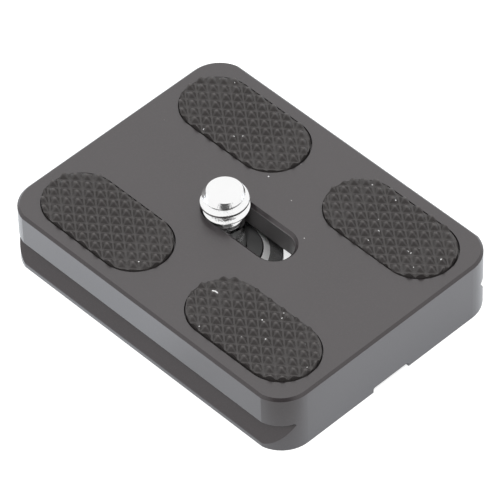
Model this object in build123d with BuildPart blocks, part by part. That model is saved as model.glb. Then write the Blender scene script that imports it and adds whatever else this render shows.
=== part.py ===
from build123d import *
from math import atan2, cos, degrees, hypot, radians, sin
import os

# Tripod quick release plate: a dovetail plate with four rubber grip pads and a captive
# camera screw that slides along a slot and turns in it. Millimetres, +Z up, X along the
# dovetail, origin at the middle of the bottom face.

# Plate outline
plate_length = 50.0
plate_width = 38.0
plate_height = 9.3
corner_radius = 4.6
corner_overrun = 0.12
top_edge_chamfer = 0.35

# Dovetail along both long sides: an upright lip above a groove with a sloping flank
lip_thickness = 4.75
lip_edge_radius = 0.15
neck_width = 31.9
groove_root_radius = 0.2
foot_width = 38.0
foot_thickness = 0.6
foot_edge_radius = 0.35

# Shallow channel along the middle of the bottom face
channel_width = 6.2
channel_depth = 0.75
channel_corner_radius = 0.25

# Slot for the camera screw, and the web that it goes through
slot_width = 5.1
slot_travel = 9.16
slot_chamfer = 0.45
web_thickness = 3.65

# Grip pads, their pockets and their pyramids
pad_length = 19.8
pad_width = 9.8
pad_gap = 0.18
pocket_end_margin = 1.85
pocket_side_margin = 1.9
pocket_depth = 1.0
pad_proud = 0.04
pyramid_height = 0.57
pyramid_tip_flat = 0.14
pyramid_valley = 0.22
cell_length = 2.315
cell_width = 1.875

# Camera screw and its washer
thread_diameter = 6.35
thread_reach = 3.24
lead_in_width = 0.8
lead_in_height = 1.25
neck_clearance = 0.1
screw_rest = 0.3
head_diameter = 14.4
head_clearance = 0.4
flange_thickness = 1.25
flange_edge_chamfer = 0.15
boss_diameter = 11.0
boss_height = 0.55
boss_bevel_width = 0.73
boss_bevel_height = 0.5
ground_clearance = 0.2
coin_slot_length = 10.0
coin_slot_width = 1.8
coin_slot_depth = 1.1
washer_diameter = 9.1
washer_thickness = 0.25
washer_clearance = 0.15

# Each pad: side along X, side along Y, and how its piece of the pyramid sheet was punched
# out, as a shift along X and Y in cells and a turn in degrees
pads = {
    "grip_pad_front_right": (1, -1, 0.175, 0.282, -0.54),
    "grip_pad_front_left": (-1, -1, -0.170, 0.351, 0.95),
    "grip_pad_back_right": (1, 1, 0.214, -0.006, 2.4),
    "grip_pad_back_left": (-1, 1, -0.170, 0.378, 1.17),
}

# Two corners of a sketch this close in height lie on one level
level_tolerance = 1e-6

# Heights that follow from the sizes above
lip_underside = plate_height - lip_thickness
recess_ceiling = plate_height - web_thickness
pocket_floor = plate_height - pocket_depth
pad_valley_top = plate_height + pad_proud
pad_tip_top = pad_valley_top + pyramid_height
flange_top = ground_clearance + flange_thickness
boss_top = flange_top + boss_height
neck_top = plate_height - slot_chamfer
thread_top = plate_height + thread_reach

# Radii and places that follow from the sizes above
neck_radius = slot_width / 2 - neck_clearance
thread_radius = thread_diameter / 2
head_radius = head_diameter / 2
boss_radius = boss_diameter / 2
recess_width = head_diameter + 2 * head_clearance
pocket_length = pad_length + 2 * pad_gap
pocket_width = pad_width + 2 * pad_gap
pad_spacing_x = plate_length - 2 * pocket_end_margin - pocket_length
pad_spacing_y = plate_width - 2 * pocket_side_margin - pocket_width
screw_x = screw_rest - slot_travel / 2
screw_axis_plane = Plane((screw_x, 0, 0), x_dir=(1, 0, 0), z_dir=(0, -1, 0))

os.makedirs("parts", exist_ok=True)


def at_height(height):
    """Pick the sketch corners that lie at one height."""
    return lambda corner: abs(corner.Y - height) < level_tolerance


# Plan outline of the plate, with its chamfered rim, which trims the ends of the section
with BuildPart() as plan_outline:
    with BuildSketch():
        RectangleRounded(plate_length, plate_width + 2 * corner_overrun, corner_radius)
    extrude(amount=plate_height)
    chamfer(plan_outline.faces().sort_by(Axis.Z)[-1].edges(), top_edge_chamfer)


# Plate: the dovetail section runs the whole length and is cut to the plan outline
with BuildPart() as plate_body:
    with BuildSketch(Plane.YZ) as section:
        with BuildLine():
            Polyline(
                (0, channel_depth),
                (channel_width / 2, channel_depth),
                (channel_width / 2, 0),
                (foot_width / 2, 0),
                (foot_width / 2, foot_thickness),
                (neck_width / 2, lip_underside),
                (plate_width / 2, lip_underside),
                (plate_width / 2, plate_height - top_edge_chamfer),
                (plate_width / 2 - top_edge_chamfer, plate_height),
                (0, plate_height),
            )
            mirror(about=Plane.YZ)
        make_face()
        groove_corners = section.vertices().filter_by(at_height(lip_underside)).sort_by(Axis.X)
        fillet(groove_corners[1:-1], groove_root_radius)
        fillet((groove_corners[0], groove_corners[-1]), lip_edge_radius)
        fillet(section.vertices().filter_by(at_height(foot_thickness)), foot_edge_radius)
        fillet(section.vertices().filter_by(at_height(channel_depth)), channel_corner_radius)
    extrude(amount=plate_length / 2, both=True)

    add(plan_outline.part, mode=Mode.INTERSECT)

    with BuildSketch():
        SlotCenterToCenter(slot_travel, recess_width)
    extrude(amount=recess_ceiling, mode=Mode.SUBTRACT)
    with BuildSketch():
        SlotCenterToCenter(slot_travel, slot_width)
    extrude(amount=plate_height, mode=Mode.SUBTRACT)
    chamfer(plate_body.faces().sort_by(Axis.Z)[-1].inner_wires()[0].edges(), slot_chamfer)

    with BuildSketch(Plane.XY.offset(plate_height)):
        with GridLocations(pad_spacing_x, pad_spacing_y, 2, 2):
            SlotOverall(pocket_length, pocket_width)
    extrude(amount=-pocket_depth, mode=Mode.SUBTRACT)

plate_body.part.label = "plate_body"
export_step(plate_body.part, "parts/plate_body.step")


# Grip pads: a stadium punched from sheet, with two sets of flat-bottomed V-grooves crossing
# at the cell's own angle, which leaves rows of four-sided pyramids
groove_angle = degrees(atan2(cell_width, cell_length))
groove_pitch = cell_length * cell_width / hypot(cell_length, cell_width)
groove_count = 2 * int(pad_length / groove_pitch) + 1

for pad_name, (side_x, side_y, shift_x, shift_y, turn) in pads.items():
    pad_x = side_x * pad_spacing_x / 2
    pad_y = side_y * pad_spacing_y / 2
    with BuildPart() as grip_pad:
        with BuildSketch(Plane.XY.offset(pocket_floor)):
            with Locations((pad_x, pad_y)):
                SlotOverall(pad_length, pad_width)
        extrude(amount=pad_tip_top - pocket_floor)
        for groove_turn in (turn + groove_angle, turn - groove_angle):
            along = Vector(cos(radians(groove_turn)), sin(radians(groove_turn)), 0)
            crossing = (pad_x + shift_x * cell_length, pad_y + shift_y * cell_width, pad_valley_top)
            with BuildSketch(Plane(crossing, x_dir=Vector(0, 0, 1).cross(along), z_dir=along)):
                with GridLocations(groove_pitch, 1, groove_count, 1):
                    Polygon(
                        (-pyramid_valley / 2, 0),
                        (pyramid_valley / 2, 0),
                        ((groove_pitch - pyramid_tip_flat) / 2, pyramid_height),
                        ((pyramid_tip_flat - groove_pitch) / 2, pyramid_height),
                        align=None,
                    )
            extrude(amount=pad_length, both=True, mode=Mode.SUBTRACT)
    grip_pad.part.label = pad_name
    export_step(grip_pad.part, f"parts/{pad_name}.step")


# Camera screw: one turned piece that hangs with the end of its thread in the slot's chamfer
with BuildPart() as camera_screw:
    with BuildSketch(screw_axis_plane):
        with BuildLine():
            Polyline(
                (0, ground_clearance),
                (head_radius - flange_edge_chamfer, ground_clearance),
                (head_radius, ground_clearance + flange_edge_chamfer),
                (head_radius, flange_top - flange_edge_chamfer),
                (head_radius - flange_edge_chamfer, flange_top),
                (boss_radius, flange_top),
                (boss_radius, boss_top - boss_bevel_height),
                (boss_radius - boss_bevel_width, boss_top),
                (neck_radius, boss_top),
                (neck_radius, neck_top),
                (thread_radius, neck_top + thread_radius - neck_radius),
                (thread_radius, thread_top - lead_in_height),
                (thread_radius - lead_in_width, thread_top),
                (0, thread_top),
                close=True,
            )
        make_face()
    revolve(axis=Axis((screw_x, 0, 0), (0, 0, 1)))
    with BuildSketch(Plane.XY.offset(ground_clearance)):
        with Locations((screw_x, 0)):
            SlotOverall(coin_slot_length, coin_slot_width)
    extrude(amount=coin_slot_depth, mode=Mode.SUBTRACT)

camera_screw.part.label = "camera_screw"
export_step(camera_screw.part, "parts/camera_screw.step")


# Friction washer: a flat ring round the neck, lying on the boss
with BuildPart() as friction_washer:
    with BuildSketch(Plane.XY.offset(boss_top)):
        with Locations((screw_x, 0)):
            Circle(washer_diameter / 2)
            Circle(neck_radius + washer_clearance, mode=Mode.SUBTRACT)
    extrude(amount=washer_thickness)

friction_washer.part.label = "friction_washer"
export_step(friction_washer.part, "parts/friction_washer.step")
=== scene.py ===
from math import atan2, cos, hypot, pi, radians, sin

import bmesh
import bpy
from mathutils import Matrix, Vector


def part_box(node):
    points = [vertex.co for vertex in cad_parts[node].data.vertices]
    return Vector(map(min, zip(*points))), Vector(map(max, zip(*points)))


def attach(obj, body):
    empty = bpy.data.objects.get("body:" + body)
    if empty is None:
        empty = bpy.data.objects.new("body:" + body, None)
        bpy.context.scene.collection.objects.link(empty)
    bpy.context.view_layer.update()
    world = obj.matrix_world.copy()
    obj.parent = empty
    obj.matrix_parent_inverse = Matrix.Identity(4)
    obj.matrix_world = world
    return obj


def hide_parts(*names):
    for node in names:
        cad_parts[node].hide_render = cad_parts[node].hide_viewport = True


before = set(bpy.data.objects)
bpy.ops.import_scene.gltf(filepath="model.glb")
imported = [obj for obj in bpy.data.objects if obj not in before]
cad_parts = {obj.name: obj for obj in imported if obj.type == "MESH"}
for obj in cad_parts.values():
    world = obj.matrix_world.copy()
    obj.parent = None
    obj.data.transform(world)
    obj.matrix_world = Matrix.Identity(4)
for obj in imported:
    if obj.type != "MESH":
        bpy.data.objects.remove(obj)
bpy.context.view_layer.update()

# Tripod quick release plate: a dark anodised plate with rubber pads and a bright camera screw.
# Lengths are in metres, as in model.glb; MM turns millimetres into them.
MM = 0.001

# Camera, as the photograph was taken
CAMERA_AZIMUTH = radians(46.92)
CAMERA_ELEVATION = radians(46.88)
CAMERA_ROLL = radians(-1.73)
CAMERA_DISTANCE = 653.2 * MM
CAMERA_ASIDE = -0.07 * MM
CAMERA_RAISED = 3.26 * MM
CLIP_START = 0.01
CLIP_END = 50
SENSOR_WIDTH = 36.0
LENS = 371.4

# Light: a white tent, with a dark side where the photographer stands, and one soft fill lamp.
# The tent darkens between two angles from the middle of that side.
TENT_LEVEL = 1.0
DARK_LEVEL = 0.1
DARK_SIDE = (0.619, -0.579, 0.53)
DARK_FROM = radians(38)
DARK_WITHIN = radians(16)
FILL_PLACE = (0.243, -0.27, 0.54)
FILL_SIZE = 0.12
FILL_POWER = 1.5

# Floor: it lies just under the plate, and glows where the camera sees it and where the object
# mirrors it. What is mirrored starts at a share of the plate's half sizes, fades out towards the
# camera and is brighter on the left.
WHITE = (1.0, 1.0, 1.0, 1.0)
FLOOR_HALF_SIZE = 3.0
FLOOR_GAP = 0.02 * MM
FLOOR_COLOUR = (0.6, 0.6, 0.6, 1.0)
FLOOR_ROUGHNESS = 0.9
FLOOR_SEEN = 0.72
FLOOR_MIRRORED = 0.6
MIRRORED_TONE = (0.93, 1.0, 1.08, 1.0)
MIRRORED_PAST = 0.9
FLOOR_SHADED = 0.0
SHADE_FROM = 26 * MM
SHADE_TO = 38 * MM
FLOOR_LIT = 0.26
LIT_FROM = 7 * MM
LIT_TO = -3 * MM

# Camera screw: its axis and outer sizes come from model.glb, and the other sizes of its solid
# are repeated here
screw_low, screw_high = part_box("camera_screw")
SCREW_X = (screw_low.x + screw_high.x) / 2
SCREW_TOP = screw_high.z
HEAD_BOTTOM = screw_low.z
HEAD_RADIUS = (screw_high.x - screw_low.x) / 2
FLANGE_TOP = HEAD_BOTTOM + 1.25 * MM
BOSS_TOP = FLANGE_TOP + 0.55 * MM
BOSS_RADIUS = 5.5 * MM
BOSS_BEVEL_WIDTH = 0.73 * MM
BOSS_BEVEL_HEIGHT = 0.5 * MM
NECK_RADIUS = 2.45 * MM
NECK_TOP = 8.85 * MM
THREAD_RADIUS = 3.175 * MM
LEAD_IN_WIDTH = 0.8 * MM
LEAD_IN_HEIGHT = 1.25 * MM
COIN_SLOT_LENGTH = 10.0 * MM
COIN_SLOT_WIDTH = 1.8 * MM
COIN_SLOT_DEPTH = 1.1 * MM

# Thread, cut into the solid's envelope. The crest and the root are shares of half a pitch, and
# the grooves fade out on the neck.
THREAD_PITCH = 1.473 * MM
THREAD_DEPTH = 0.66 * MM
THREAD_START = radians(-4)
THREAD_CREST = 0.22
THREAD_ROOT = 0.78
GROOVES_FROM = 7.0 * MM
NECK_GROOVE_DEPTH = 0.4 * MM

# Mesh of the screw: a rounded edge takes no more than a share of the sides that meet there
EDGE_ROUND = 0.1 * MM
EDGE_SHARE = 0.45
SCREW_STEPS = 200
THREAD_ROWS = 260
COIN_SLOT_STEPS = 24
SCREW_SHARP_ANGLE = radians(38)

# Grip pads: the cell of the pyramid sheet, the height of the grooves and one moulded pyramid
CELL_LENGTH = 2.315 * MM
CELL_WIDTH = 1.875 * MM
SOLID_PYRAMID_HEIGHT = 0.57 * MM
PAD_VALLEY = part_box("grip_pad_front_left")[1].z - SOLID_PYRAMID_HEIGHT
PYRAMID_HEIGHT = 0.63 * MM
PYRAMID_PEAK = 0.72 * MM
PYRAMID_VALLEY = 0.2 * MM
PYRAMID_SWELL = 1.1
RIDGE_ROUND_FOOT = 0.06 * MM
RIDGE_ROUND_TIP = 0.3 * MM
TIP_ROUND = 0.06 * MM
VALLEY_ROUND = 0.05 * MM

# Mesh of a pad
PAD_COLUMNS = 150
PAD_END_COLUMNS = 34
PAD_ROWS = 110
PAD_MERGE_DISTANCE = 1e-7
PAD_SHARP_ANGLE = radians(55)

# Each pad: how it was punched from its sheet, as a shift along X and Y in cells and a turn in
# degrees, and how far off the middle of its pocket it was glued, along X and Y
PADS = {
    "grip_pad_front_right": (0.118, 0.325, -0.54, -0.1 * MM, 0.1 * MM),
    "grip_pad_front_left": (-0.227, 0.394, 0.95, -0.1 * MM, 0.0),
    "grip_pad_back_right": (0.157, 0.037, 2.4, -0.1 * MM, 0.0),
    "grip_pad_back_left": (-0.227, 0.421, 1.17, -0.1 * MM, 0.0),
}

# White dust: the larger specks, each as a place in plan and a radius in millimetres
PAD_SPECKS = [
    (5.2, -11.25, 0.15), (5.29, -11.04, 0.22), (5.45, -10.93, 0.18), (15.59, -12.37, 0.085),
    (12.64, -10.09, 0.085), (10.29, 15.74, 0.076), (-16.08, 7.62, 0.095), (6.1, 15.79, 0.08),
    (17.83, 10.77, 0.085), (17.42, 10.72, 0.09), (12.49, 10.48, 0.115), (21.57, 12.3, 0.076),
    (19.75, 9.29, 0.067), (-5.3, -14.02, 0.084), (14.2, -8.19, 0.08), (-19.17, 16.16, 0.04),
    (-12.17, 9.24, 0.08), (7.9, -16.3, 0.063), (-11.36, 9.99, 0.075), (13.2, -14.16, 0.055),
    (10.87, 12.07, 0.053), (13.73, -7.42, 0.074), (12.75, 8.36, 0.058), (22.15, -11.73, 0.051),
]
PLATE_SPECKS = [(-4.32, 7.67, 0.1), (0.72, 6.75, 0.06), (6.5, 3.3, 0.06)]

# A screen's greys run from 0 to this white, and turn into light by this power
SCREEN_WHITE = 255
SCREEN_GAMMA = 2.2


def grey(level, red=0.0, blue=0.0):
    """A linear colour from a screen grey, with a little more red or blue."""
    linear = (level / SCREEN_WHITE) ** SCREEN_GAMMA
    return (linear * (1 + red), linear, linear * (1 + blue), 1.0)


# Plate finish: its colours, the range of its roughness, and its clear coat, which is weaker on slopes, so
# that they are darker. A slope starts and ends between two values of how far a face looks up.
PLATE_DARK = grey(50, 0.2, 0.06)
PLATE_LIGHT = grey(58, 0.2, 0.06)
PLATE_GRAIN = grey(60, 0.2, 0.06)
PLATE_DUST = grey(150)
PLATE_SPECK = grey(235)
PLATE_ROUGHNESS = (0.38, 0.44)
PLATE_METALLIC = 0.45
PLATE_EDGE_ROUND = 0.06 * MM
COAT_IOR = 1.83
COAT_ROUGHNESS = 0.3
COAT_WEIGHT = (1.0, 0.6)
SLOPE_START = (0.35, 0.45)
SLOPE_END = (0.95, 0.85)

# Slot walls: painted light, paler than the rest of the plate to make up for the shade they lie in, inside
# these half sizes and heights
SLOT_PAINTED_LIGHT = grey(110, 0.05, 0.02)
SLOT_HALF_LENGTH = 8 * MM
SLOT_HALF_WIDTH = 2.6 * MM
SLOT_LOW = 5.8 * MM
SLOT_HIGH = 8.85 * MM
SLOT_SOFT = 0.1 * MM

# Rubber colours: a painted highlight, paler at the tips, and a little paler in the grooves, at heights
# above the grooves
RUBBER_DARK = grey(59, 0.1, -0.02)
RUBBER_LIGHT = grey(64, 0.1, -0.02)
RUBBER_TIP_HIGHLIGHT = grey(79, 0.1, -0.02)
RUBBER_GROOVE = grey(65, 0.1, -0.02)
RUBBER_DUST = grey(170)
RUBBER_SPECK = grey(245)
RUBBER_ROUGHNESS = (0.3, 0.4)
TIP_HIGHLIGHT_FROM = 0.47 * MM
TIP_HIGHLIGHT_FULL = 0.57 * MM
GROOVES_UP_TO = 0.12 * MM

# Screw finish: bright, with less of the metal's mirror on the head; on the bevel hardly any, so it shows
# matt white as a painted highlight
STEEL_DARK = grey(246)
STEEL_LIGHT = grey(252)
STEEL_ROUGHNESS = (0.08, 0.16)
STEEL_METALLIC = (1.0, 0.05)
HEAD_DULL = 0.15
HEAD_DULL_TOP = FLANGE_TOP + 0.02 * MM
BEVEL_SOFT = 0.1 * MM

# Washer finish
WASHER_DARK = grey(98)
WASHER_LIGHT = grey(106)
WASHER_ROUGHNESS = (0.5, 0.65)


class Shader:
    """The node tree of a material or a world, with short ways to add nodes and feed them."""

    # Sockets of a colour mix: its share, first and second colour, and its result
    MIX_INPUTS = (0, 6, 7)
    MIX_OUTPUT = 2
    NOISE_ROUGHNESS = 0.55

    def __init__(self, owner, surface):
        owner.use_nodes = True
        self.owner = owner
        self.tree = owner.node_tree
        self.surface = self.tree.nodes[surface]

    def node(self, kind, **settings):
        made = self.tree.nodes.new("ShaderNode" + kind)
        for key, value in settings.items():
            setattr(made, key, value)
        return made

    def put(self, socket, value):
        """Join a socket to the output of a node, or set it to a constant."""
        if isinstance(value, bpy.types.NodeSocket):
            self.tree.links.new(value, socket)
        else:
            socket.default_value = value

    def feed(self, node, **values):
        """Put values into a node's sockets, named with _ for a space."""
        for key, value in values.items():
            self.put(node.inputs[key.replace("_", " ")], value)

    def place(self):
        return self.node("TexCoord").outputs["Object"]

    def axes(self, vector):
        """The X, Y and Z of a vector."""
        made = self.node("SeparateXYZ")
        self.feed(made, Vector=vector)
        return made.outputs["X"], made.outputs["Y"], made.outputs["Z"]

    def noise(self, scale, detail):
        made = self.node("TexNoise")
        self.feed(made, Vector=self.place(), Scale=scale, Detail=detail, Roughness=self.NOISE_ROUGHNESS)
        return made.outputs["Fac"]

    def ramp(self, source, low, high):
        """Stretch a 0 to 1 value so that it runs between two numbers."""
        made = self.node("MapRange")
        self.feed(made, Value=source, To_Min=low, To_Max=high)
        return made.outputs["Result"]

    def window(self, source, outside, inside):
        """0 up to one number, 1 from the other on, and a smooth step between."""
        made = self.node("MapRange", interpolation_type="SMOOTHSTEP")
        self.feed(made, Value=source, From_Min=outside, From_Max=inside)
        return made.outputs["Result"]

    def math(self, operation, first, second=0.0):
        made = self.node("Math", operation=operation)
        self.put(made.inputs[0], first)
        self.put(made.inputs[1], second)
        return made.outputs["Value"]

    def vectors(self, operation, first, second):
        made = self.node("VectorMath", operation=operation)
        self.put(made.inputs[0], first)
        self.put(made.inputs[1], second)
        return made.outputs

    def overlap(self, *shares):
        """The product of 0 to 1 values, so 1 only where all of them are."""
        found = shares[0]
        for share in shares[1:]:
            found = self.math("MULTIPLY", found, share)
        return found

    def mix(self, share, first, second):
        made = self.node("Mix", data_type="RGBA")
        for number, value in zip(self.MIX_INPUTS, (share, first, second)):
            self.put(made.inputs[number], value)
        return made.outputs[self.MIX_OUTPUT]

    def bump(self, height, strength, distance, **below):
        """A normal with fine relief, on top of another normal if one is given."""
        made = self.node("Bump")
        self.feed(made, Height=height, Strength=strength, Distance=distance, **below)
        return made.outputs["Normal"]

    def dust(self, spacing, size, share):
        """Sparse light specks: a dot in the middle of a few cells."""
        cells = self.node("TexVoronoi")
        self.feed(cells, Vector=self.place(), Scale=1 / spacing)
        split = self.node("SeparateColor")
        self.feed(split, Color=cells.outputs["Color"])
        chosen = self.math("GREATER_THAN", split.outputs["Red"], 1 - share)
        near = self.math("LESS_THAN", cells.outputs["Distance"], size / spacing)
        return self.overlap(chosen, near)

    def specks(self, places):
        """Dots at given places in plan, each with its own radius, in millimetres."""
        plan = self.vectors("MULTIPLY", self.place(), (1, 1, 0))["Vector"]
        found = 0.0
        for x, y, radius in places:
            away = self.vectors("DISTANCE", plan, (x * MM, y * MM, 0))["Value"]
            found = self.math("MAXIMUM", self.math("LESS_THAN", away, radius * MM), found)
        return found


def new_finish(name):
    return Shader(bpy.data.materials.new(name), "Principled BSDF")


def anodised_aluminium():
    """The plate: dark and matt, with fine grain, a little dust and softened edges."""
    shader = new_finish("anodised_aluminium")
    cloud = shader.noise(scale=90, detail=3)
    grain = shader.noise(scale=5200, detail=2)
    dust = shader.dust(spacing=2.6 * MM, size=0.06 * MM, share=0.14)
    along, across, height = shader.axes(shader.place())
    # Painted light: the slot walls are painted paler than the rest of the plate, for their shade
    slot_painted_light = shader.overlap(
        shader.window(shader.math("ABSOLUTE", across), SLOT_HALF_WIDTH + SLOT_SOFT, SLOT_HALF_WIDTH),
        shader.math("LESS_THAN", shader.math("ABSOLUTE", along), SLOT_HALF_LENGTH),
        shader.window(height, SLOT_LOW - SLOT_SOFT, SLOT_LOW),
        shader.window(height, SLOT_HIGH + SLOT_SOFT, SLOT_HIGH),
    )
    colour = shader.mix(cloud, PLATE_DARK, PLATE_LIGHT)
    colour = shader.mix(shader.window(grain, outside=0.4, inside=0.8), colour, PLATE_GRAIN)
    colour = shader.mix(dust, colour, PLATE_DUST)
    colour = shader.mix(shader.specks(PLATE_SPECKS), colour, PLATE_SPECK)
    colour = shader.mix(slot_painted_light, colour, SLOT_PAINTED_LIGHT)
    upward = shader.axes(shader.node("NewGeometry").outputs["True Normal"])[2]
    slope = shader.overlap(shader.window(upward, *SLOPE_START), shader.window(upward, *SLOPE_END))
    rounded = shader.node("Bevel")
    shader.feed(rounded, Radius=PLATE_EDGE_ROUND)
    normal = shader.bump(grain, strength=0.05, distance=0.01 * MM, Normal=rounded.outputs["Normal"])
    shader.feed(
        shader.surface,
        Base_Color=colour,
        Metallic=PLATE_METALLIC,
        Roughness=shader.ramp(cloud, *PLATE_ROUGHNESS),
        Specular_IOR_Level=0.0,
        Normal=normal,
        Coat_Weight=shader.ramp(slope, *COAT_WEIGHT),
        Coat_IOR=COAT_IOR,
        Coat_Roughness=COAT_ROUGHNESS,
        Coat_Normal=normal,
    )
    return shader.owner


def grip_rubber():
    """The pads: matt rubber with white dust, and a painted highlight on the pyramid tips."""
    shader = new_finish("grip_rubber")
    cloud = shader.noise(scale=400, detail=4)
    grain = shader.noise(scale=9000, detail=3)
    dust = shader.dust(spacing=1.5 * MM, size=0.06 * MM, share=0.12)
    height = shader.axes(shader.place())[2]
    # Painted highlight: the tips of the pyramids are paler
    tip_highlight = shader.window(height, PAD_VALLEY + TIP_HIGHLIGHT_FROM, PAD_VALLEY + TIP_HIGHLIGHT_FULL)
    grooves = shader.window(height, PAD_VALLEY + GROOVES_UP_TO, PAD_VALLEY)
    colour = shader.mix(cloud, RUBBER_DARK, RUBBER_LIGHT)
    colour = shader.mix(tip_highlight, colour, RUBBER_TIP_HIGHLIGHT)
    colour = shader.mix(grooves, colour, RUBBER_GROOVE)
    colour = shader.mix(dust, colour, RUBBER_DUST)
    colour = shader.mix(shader.specks(PAD_SPECKS), colour, RUBBER_SPECK)
    shader.feed(
        shader.surface,
        Base_Color=colour,
        Roughness=shader.ramp(grain, *RUBBER_ROUGHNESS),
        Normal=shader.bump(grain, strength=0.25, distance=0.02 * MM),
    )
    return shader.owner


def plated_steel():
    """The screw: bright plating with slight waves, duller on the head, and matt white on the boss's bevel
    as a painted highlight.
    """
    shader = new_finish("plated_steel")
    cloud = shader.noise(scale=700, detail=3)
    grain = shader.noise(scale=12000, detail=2)
    height = shader.axes(shader.place())[2]
    bevel_middle = (SCREW_X, 0, BOSS_TOP - BOSS_BEVEL_HEIGHT / 2)
    away = shader.vectors("DISTANCE", shader.place(), bevel_middle)["Value"]
    inner = BOSS_RADIUS - BOSS_BEVEL_WIDTH
    outer = BOSS_RADIUS + BEVEL_SOFT
    # Painted highlight: the boss's bevel loses the metal's mirror and shows matt white
    bevel = shader.overlap(
        shader.window(away, inner - BEVEL_SOFT, inner),
        shader.window(away, outer + BEVEL_SOFT, outer),
        shader.math("GREATER_THAN", height, HEAD_DULL_TOP),
        shader.math("LESS_THAN", height, BOSS_TOP + BEVEL_SOFT),
    )
    head = shader.math("LESS_THAN", height, HEAD_DULL_TOP)
    dull_and_highlight = shader.math("MAXIMUM", bevel, shader.math("MULTIPLY", head, HEAD_DULL))
    waves = shader.bump(shader.noise(scale=1700, detail=2), strength=0.5, distance=0.1 * MM)
    shader.feed(
        shader.surface,
        Base_Color=shader.mix(cloud, STEEL_DARK, STEEL_LIGHT),
        Metallic=shader.ramp(dull_and_highlight, *STEEL_METALLIC),
        Roughness=shader.ramp(cloud, *STEEL_ROUGHNESS),
        Normal=shader.bump(grain, strength=0.05, distance=0.01 * MM, Normal=waves),
    )
    return shader.owner


def dark_washer():
    """The washer: smooth, with a little clouding."""
    shader = new_finish("dark_washer")
    cloud = shader.noise(scale=600, detail=3)
    shader.feed(
        shader.surface,
        Base_Color=shader.mix(cloud, WASHER_DARK, WASHER_LIGHT),
        Roughness=shader.ramp(cloud, *WASHER_ROUGHNESS),
        Normal=shader.bump(cloud, strength=0.1, distance=0.02 * MM),
    )
    return shader.owner


def new_object(name, data):
    made = bpy.data.objects.new(name, data)
    bpy.context.scene.collection.objects.link(made)
    return made


def finished_object(name, shape):
    """Turn a bmesh into an object, with its faces looking outwards."""
    bmesh.ops.recalc_face_normals(shape, faces=shape.faces)
    mesh = bpy.data.meshes.new(name)
    shape.to_mesh(mesh)
    shape.free()
    return new_object(name, mesh)


def shade_smooth(piece, sharp_angle):
    """Shade a piece smooth, apart from edges sharper than an angle."""
    piece.data.shade_smooth()
    piece.data.set_sharp_from_angle(angle=sharp_angle)


def thread_radius_at(angle, height):
    """Radius of the threaded end: a helix held inside its cones, that fades out on the neck."""
    turns = (height - NECK_TOP) / THREAD_PITCH - (angle - THREAD_START) / (2 * pi)
    across = abs(turns % 1.0 - 0.5) * 2
    share = min(max((across - THREAD_CREST) / (THREAD_ROOT - THREAD_CREST), 0.0), 1.0)
    if height < NECK_TOP:
        fade = (height - GROOVES_FROM) / (NECK_TOP - GROOVES_FROM)
        return NECK_RADIUS - NECK_GROOVE_DEPTH * share * fade
    helix = THREAD_RADIUS - THREAD_DEPTH * share
    lead_in = THREAD_RADIUS - LEAD_IN_WIDTH * (1 - (SCREW_TOP - height) / LEAD_IN_HEIGHT)
    run_out = NECK_RADIUS + (height - NECK_TOP) - NECK_GROOVE_DEPTH * share
    return min(helix, lead_in, run_out)


def rounded_profile(points):
    """Cut each inner corner of a profile with two points, so that edges catch the light."""
    made = [points[0]]
    for before, corner, after in zip(points, points[1:], points[2:]):
        for other in (before, after):
            step = Vector(other) - Vector(corner)
            cut = min(EDGE_ROUND, step.length * EDGE_SHARE)
            made.append(tuple(Vector(corner) + step.normalized() * cut))
    made.append(points[-1])
    return made


def screw_rows(angles):
    """Rows of the turned screw, from its head's lower edge to its top: a height, and a radius
    for each angle."""
    head = [
        (0.0, HEAD_BOTTOM),
        (HEAD_RADIUS, HEAD_BOTTOM),
        (HEAD_RADIUS, FLANGE_TOP),
        (BOSS_RADIUS, FLANGE_TOP),
        (BOSS_RADIUS, BOSS_TOP - BOSS_BEVEL_HEIGHT),
        (BOSS_RADIUS - BOSS_BEVEL_WIDTH, BOSS_TOP),
        (NECK_RADIUS, BOSS_TOP),
        (NECK_RADIUS, GROOVES_FROM),
    ]
    rows = [(height, [radius] * len(angles)) for radius, height in rounded_profile(head)[1:]]
    for row in range(1, THREAD_ROWS + 1):
        height = GROOVES_FROM + (SCREW_TOP - GROOVES_FROM) * row / THREAD_ROWS
        rows.append((height, [thread_radius_at(angle, height) for angle in angles]))
    return rows


def threaded_screw():
    """The camera screw as a lathe mesh whose radius also follows the thread's helix."""
    shape = bmesh.new()
    axis = Vector((SCREW_X, 0, 0))
    angles = [2 * pi * step / SCREW_STEPS for step in range(SCREW_STEPS)]
    rings = []
    for height, radii in screw_rows(angles):
        ring = []
        for angle, radius in zip(angles, radii):
            ring.append(shape.verts.new(axis + Vector((radius * cos(angle), radius * sin(angle), height))))
        rings.append(ring)
    for low, high in zip(rings, rings[1:]):
        for step in range(SCREW_STEPS):
            ahead = (step + 1) % SCREW_STEPS
            shape.faces.new((low[step], low[ahead], high[ahead], high[step]))
    for ring, height in ((rings[0], HEAD_BOTTOM), (rings[-1], SCREW_TOP)):
        middle = shape.verts.new(axis + Vector((0, 0, height)))
        for step in range(SCREW_STEPS):
            shape.faces.new((ring[step], ring[(step + 1) % SCREW_STEPS], middle))
    return finished_object("camera_screw_threaded", shape)


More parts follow.
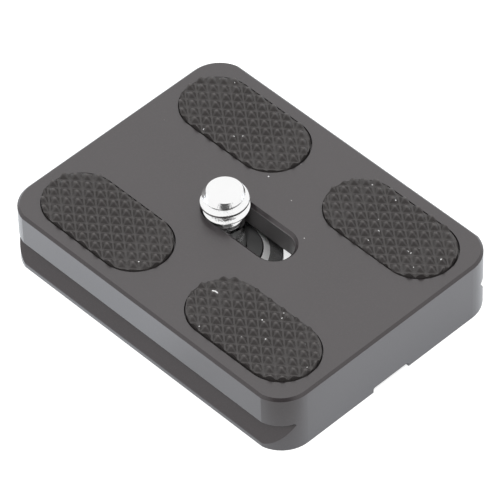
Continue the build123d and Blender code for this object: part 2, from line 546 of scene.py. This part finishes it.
def coin_slot_cutter():
    """A bar with round ends, to cut the coin slot from below."""
    shape = bmesh.new()
    radius = COIN_SLOT_WIDTH / 2
    outline = []
    for end, start in ((1, -90), (-1, 90)):
        for step in range(COIN_SLOT_STEPS + 1):
            angle = radians(start + 180 * step / COIN_SLOT_STEPS)
            x = SCREW_X + end * (COIN_SLOT_LENGTH / 2 - radius) + cos(angle) * radius
            outline.append(shape.verts.new((x, sin(angle) * radius, HEAD_BOTTOM - COIN_SLOT_DEPTH)))
    pushed = bmesh.ops.extrude_face_region(shape, geom=[shape.faces.new(outline)])
    raised = [item for item in pushed["geom"] if isinstance(item, bmesh.types.BMVert)]
    bmesh.ops.translate(shape, verts=raised, vec=(0, 0, 2 * COIN_SLOT_DEPTH))
    return finished_object("coin_slot_cutter", shape)


def apply_modifiers(piece):
    """Keep the shape that the piece's modifiers give, and drop the modifiers."""
    evaluated = piece.evaluated_get(bpy.context.evaluated_depsgraph_get())
    mesh = bpy.data.meshes.new_from_object(evaluated)
    piece.modifiers.clear()
    piece.data = mesh


def make_screw():
    screw = threaded_screw()
    cutter = coin_slot_cutter()
    cut = screw.modifiers.new("coin_slot", "BOOLEAN")
    cut.operation = "DIFFERENCE"
    cut.solver = "EXACT"
    cut.object = cutter
    apply_modifiers(screw)
    bpy.data.objects.remove(cutter)
    shade_smooth(screw, SCREW_SHARP_ANGLE)
    screw.data.materials.clear()
    screw.data.materials.append(plated_steel())
    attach(screw, "screw")
    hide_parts("camera_screw")


def soft_least(first, second, blend):
    """The smaller of two numbers, rounded where they meet."""
    near = max(blend - abs(first - second), 0.0)
    return min(first, second) - near * near / (4 * blend)


def pyramid_height_at(x, y, turn):
    """Height above the grooves at a place measured from a crossing of two grooves."""
    pitch = CELL_LENGTH * CELL_WIDTH / hypot(CELL_LENGTH, CELL_WIDTH)
    reach = (pitch - PYRAMID_VALLEY) / 2
    feet = []
    for side in (1, -1):
        along = radians(turn) + side * atan2(CELL_WIDTH, CELL_LENGTH)
        across = y * cos(along) - x * sin(along)
        from_groove = pitch * abs(across / pitch - round(across / pitch))
        feet.append(from_groove - PYRAMID_VALLEY / 2)
    nearest = max(min(feet), 0.0) / reach
    ridge_round = RIDGE_ROUND_FOOT + (RIDGE_ROUND_TIP - RIDGE_ROUND_FOOT) * nearest
    inset = soft_least(*feet, ridge_round) / reach
    height = PYRAMID_PEAK * PYRAMID_SWELL * inset
    if inset > 0:
        height = PYRAMID_PEAK * (1 - (1 - inset) ** PYRAMID_SWELL)
    height = soft_least(height, PYRAMID_HEIGHT, TIP_ROUND)
    return -soft_least(-height, 0.0, VALLEY_ROUND)


def stadium_columns(length, width):
    """Columns across a stadium: how far along, and half the width there."""
    radius = width / 2
    straight = length / 2 - radius
    angles = [pi / 2 * step / PAD_END_COLUMNS for step in range(PAD_END_COLUMNS)]
    columns = [(-straight - radius * cos(angle), radius * sin(angle)) for angle in angles]
    columns += [(straight * (2 * step / PAD_COLUMNS - 1), radius) for step in range(PAD_COLUMNS + 1)]
    columns += [(straight + radius * cos(angle), radius * sin(angle)) for angle in reversed(angles)]
    return columns


def moulded_pad(name):
    """A grip pad with soft moulded pyramids, cut off square at the pad's outline."""
    low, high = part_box(name)
    middle = (low + high) / 2
    shift_x, shift_y, turn, seat_x, seat_y = PADS[name]
    shape = bmesh.new()
    grid = []
    for along, half in stadium_columns(high.x - low.x, high.y - low.y):
        column = []
        for row in range(PAD_ROWS + 1):
            x = along + seat_x
            y = half * (2 * row / PAD_ROWS - 1) + seat_y
            rise = pyramid_height_at(x - shift_x * CELL_LENGTH, y - shift_y * CELL_WIDTH, turn)
            column.append(shape.verts.new((middle.x + x, middle.y + y, PAD_VALLEY + rise)))
        grid.append(column)
    for left, right in zip(grid, grid[1:]):
        for row in range(PAD_ROWS):
            shape.faces.new((left[row], right[row], right[row + 1], left[row + 1]))
    bmesh.ops.remove_doubles(shape, verts=shape.verts, dist=PAD_MERGE_DISTANCE)
    rim = [edge for edge in shape.edges if edge.is_boundary]
    wall = bmesh.ops.extrude_edge_only(shape, edges=rim)["geom"]
    for item in wall:
        if isinstance(item, bmesh.types.BMVert):
            item.co.z = low.z
    foot = [item for item in wall if isinstance(item, bmesh.types.BMEdge)]
    bmesh.ops.holes_fill(shape, edges=foot, sides=0)
    pad = finished_object(name + "_moulded", shape)
    shade_smooth(pad, PAD_SHARP_ANGLE)
    return pad


def make_pads():
    finish = grip_rubber()
    for name in PADS:
        pad = moulded_pad(name)
        pad.data.materials.append(finish)
        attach(pad, "plate")
        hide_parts(name)


def dress_nodes():
    """Give the solids that stay their finishes."""
    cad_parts["plate_body"].material_slots[0].material = anodised_aluminium()
    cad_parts["friction_washer"].material_slots[0].material = dark_washer()


def white_floor():
    """A pale floor that takes the shadow and reads as white where it is open."""
    shader = new_finish("floor")
    rays = shader.node("LightPath").outputs
    seen = rays["Is Camera Ray"]
    x, y = shader.axes(shader.place())[:2]
    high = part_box("plate_body")[1]
    past_end = shader.math("GREATER_THAN", shader.math("ABSOLUTE", x), MIRRORED_PAST * high.x)
    past_side = shader.math("GREATER_THAN", shader.math("ABSOLUTE", y), MIRRORED_PAST * high.y)
    mirrored = shader.overlap(
        shader.math("MAXIMUM", rays["Is Glossy Ray"], rays["Is Transmission Ray"]),
        shader.math("MAXIMUM", past_end, past_side),
    )
    nearer = shader.math(
        "SUBTRACT",
        shader.math("MULTIPLY", x, sin(CAMERA_AZIMUTH)),
        shader.math("MULTIPLY", y, cos(CAMERA_AZIMUTH)),
    )
    shade = shader.ramp(shader.window(nearer, SHADE_FROM, SHADE_TO), FLOOR_MIRRORED, FLOOR_SHADED)
    lit = shader.math("MULTIPLY", shader.window(x, LIT_FROM, LIT_TO), FLOOR_LIT)
    mirrored_glow = shader.math("MULTIPLY", mirrored, shader.math("ADD", shade, lit))
    seen_glow = shader.math("MULTIPLY", seen, FLOOR_SEEN)
    shader.feed(
        shader.surface,
        Base_Color=FLOOR_COLOUR,
        Roughness=FLOOR_ROUGHNESS,
        Specular_IOR_Level=0.0,
        Emission_Color=shader.mix(seen, MIRRORED_TONE, WHITE),
        Emission_Strength=shader.math("ADD", mirrored_glow, seen_glow),
    )
    half = FLOOR_HALF_SIZE
    outline = ((-half, -half), (half, -half), (half, half), (-half, half))
    corners = [(along, across, -FLOOR_GAP) for along, across in outline]
    mesh = bpy.data.meshes.new("floor")
    mesh.from_pydata(corners, [], [(0, 1, 2, 3)])
    mesh.materials.append(shader.owner)
    new_object("floor", mesh)


def studio_world():
    """A white tent all round, darker on the side where the photographer stands."""
    world = bpy.data.worlds.new("studio")
    bpy.context.scene.world = world
    shader = Shader(world, "Background")
    direction = shader.node("TexCoord").outputs["Generated"]
    facing = shader.vectors("DOT_PRODUCT", direction, DARK_SIDE)["Value"]
    dark = shader.window(facing, cos(DARK_FROM), cos(DARK_WITHIN))
    tent = shader.ramp(dark, TENT_LEVEL, DARK_LEVEL)
    seen = shader.node("LightPath").outputs["Is Camera Ray"]
    shader.feed(shader.surface, Color=WHITE, Strength=shader.ramp(seen, tent, 1.0))


def fill_light():
    """A soft box that faces the middle of the object and doesn't show in its mirrors."""
    lamp = bpy.data.lights.new("fill", "AREA")
    lamp.shape = "SQUARE"
    lamp.size = FILL_SIZE
    lamp.energy = FILL_POWER
    fill = new_object("fill", lamp)
    fill.location = FILL_PLACE
    fill.rotation_euler = Vector(FILL_PLACE).to_track_quat("Z", "Y").to_euler()
    fill.visible_glossy = False


def photo_camera():
    """The camera, turned and placed as the photograph was taken."""
    level = Vector((cos(CAMERA_AZIMUTH), sin(CAMERA_AZIMUTH), 0))
    outward = Vector((sin(CAMERA_AZIMUTH), -cos(CAMERA_AZIMUTH), 0))
    back = outward * cos(CAMERA_ELEVATION) + Vector((0, 0, sin(CAMERA_ELEVATION)))
    upright = back.cross(level)
    right = level * cos(CAMERA_ROLL) + upright * sin(CAMERA_ROLL)
    up = upright * cos(CAMERA_ROLL) - level * sin(CAMERA_ROLL)
    place = back * CAMERA_DISTANCE + right * CAMERA_ASIDE + up * CAMERA_RAISED
    lens = bpy.data.cameras.new("camera")
    lens.sensor_width = SENSOR_WIDTH
    lens.lens = LENS
    lens.clip_start = CLIP_START
    lens.clip_end = CLIP_END
    camera = new_object("camera", lens)
    camera.matrix_world = Matrix.Translation(place) @ Matrix((right, up, back)).transposed().to_4x4()
    bpy.context.scene.camera = camera


dress_nodes()
make_screw()
make_pads()
white_floor()
studio_world()
fill_light()
photo_camera()
bpy.context.scene.view_settings.view_transform = "Standard"
